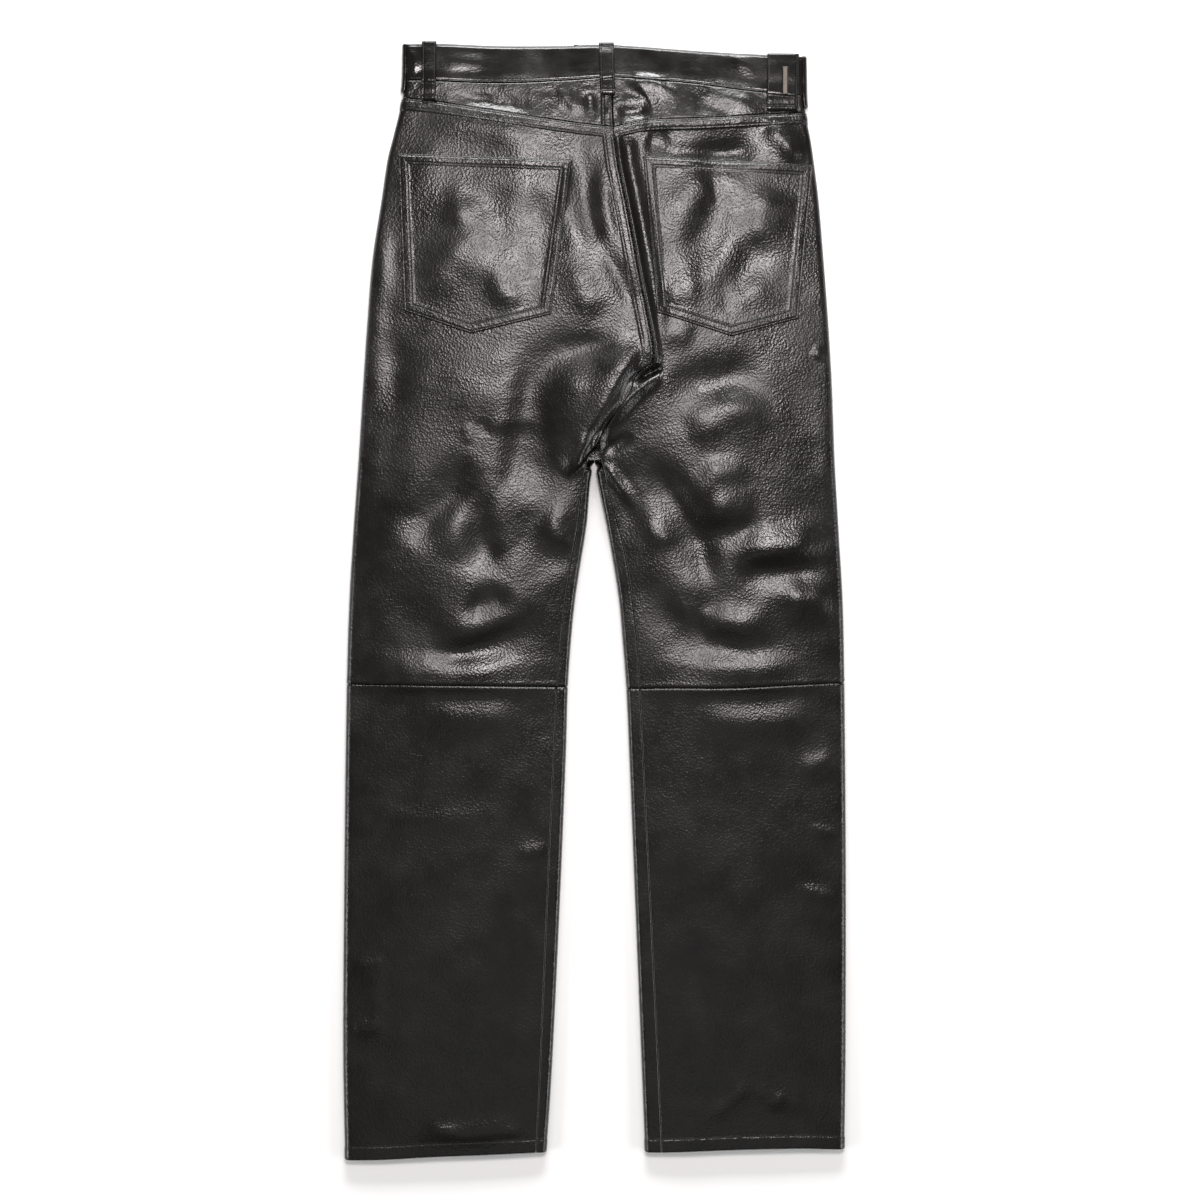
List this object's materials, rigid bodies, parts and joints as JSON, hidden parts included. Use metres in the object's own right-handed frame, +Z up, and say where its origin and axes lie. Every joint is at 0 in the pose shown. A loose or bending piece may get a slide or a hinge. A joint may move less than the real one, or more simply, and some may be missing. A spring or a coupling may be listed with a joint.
{
  "type": "leather trousers, laid flat",
  "caption": "Black five-pocket leather trousers laid flat with the back side up: yokes, two patch pockets, knee seams, belt loops and a wide loop with a plain bar.",
  "frame": {"origin": "on the surface that the trousers lie on, in the middle of their outline", "axes": "+Z up out of the surface, +Y from the hems towards the waist, so that +X is the wearer's right"},
  "size_m": [0.4864, 1.0817, 0.0293],
  "materials": {
    "leather": "semi-gloss pebbled grain",
    "steel": "brushed"
  },
  "bodies": {
    "root": {"yoke_left": "leather", "back_leg_upper_left": "leather", "back_leg_lower_left": "leather", "front_leg_upper_left": "leather", "front_leg_lower_left": "leather", "back_pocket_left": "leather", "belt_loop_front_left": "leather", "yoke_right": "leather", "back_leg_upper_right": "leather", "back_leg_lower_right": "leather", "front_leg_upper_right": "leather", "front_leg_lower_right": "leather", "back_pocket_right": "leather", "belt_loop_front_right": "leather", "waistband": "leather", "belt_loop_centre_back": "leather", "belt_loop_back_left": "leather", "belt_loop_wide_right": "leather", "loop_bar": "steel", "waist_button": "steel", "fly_shield": "leather"}
  },
  "joints": []
}
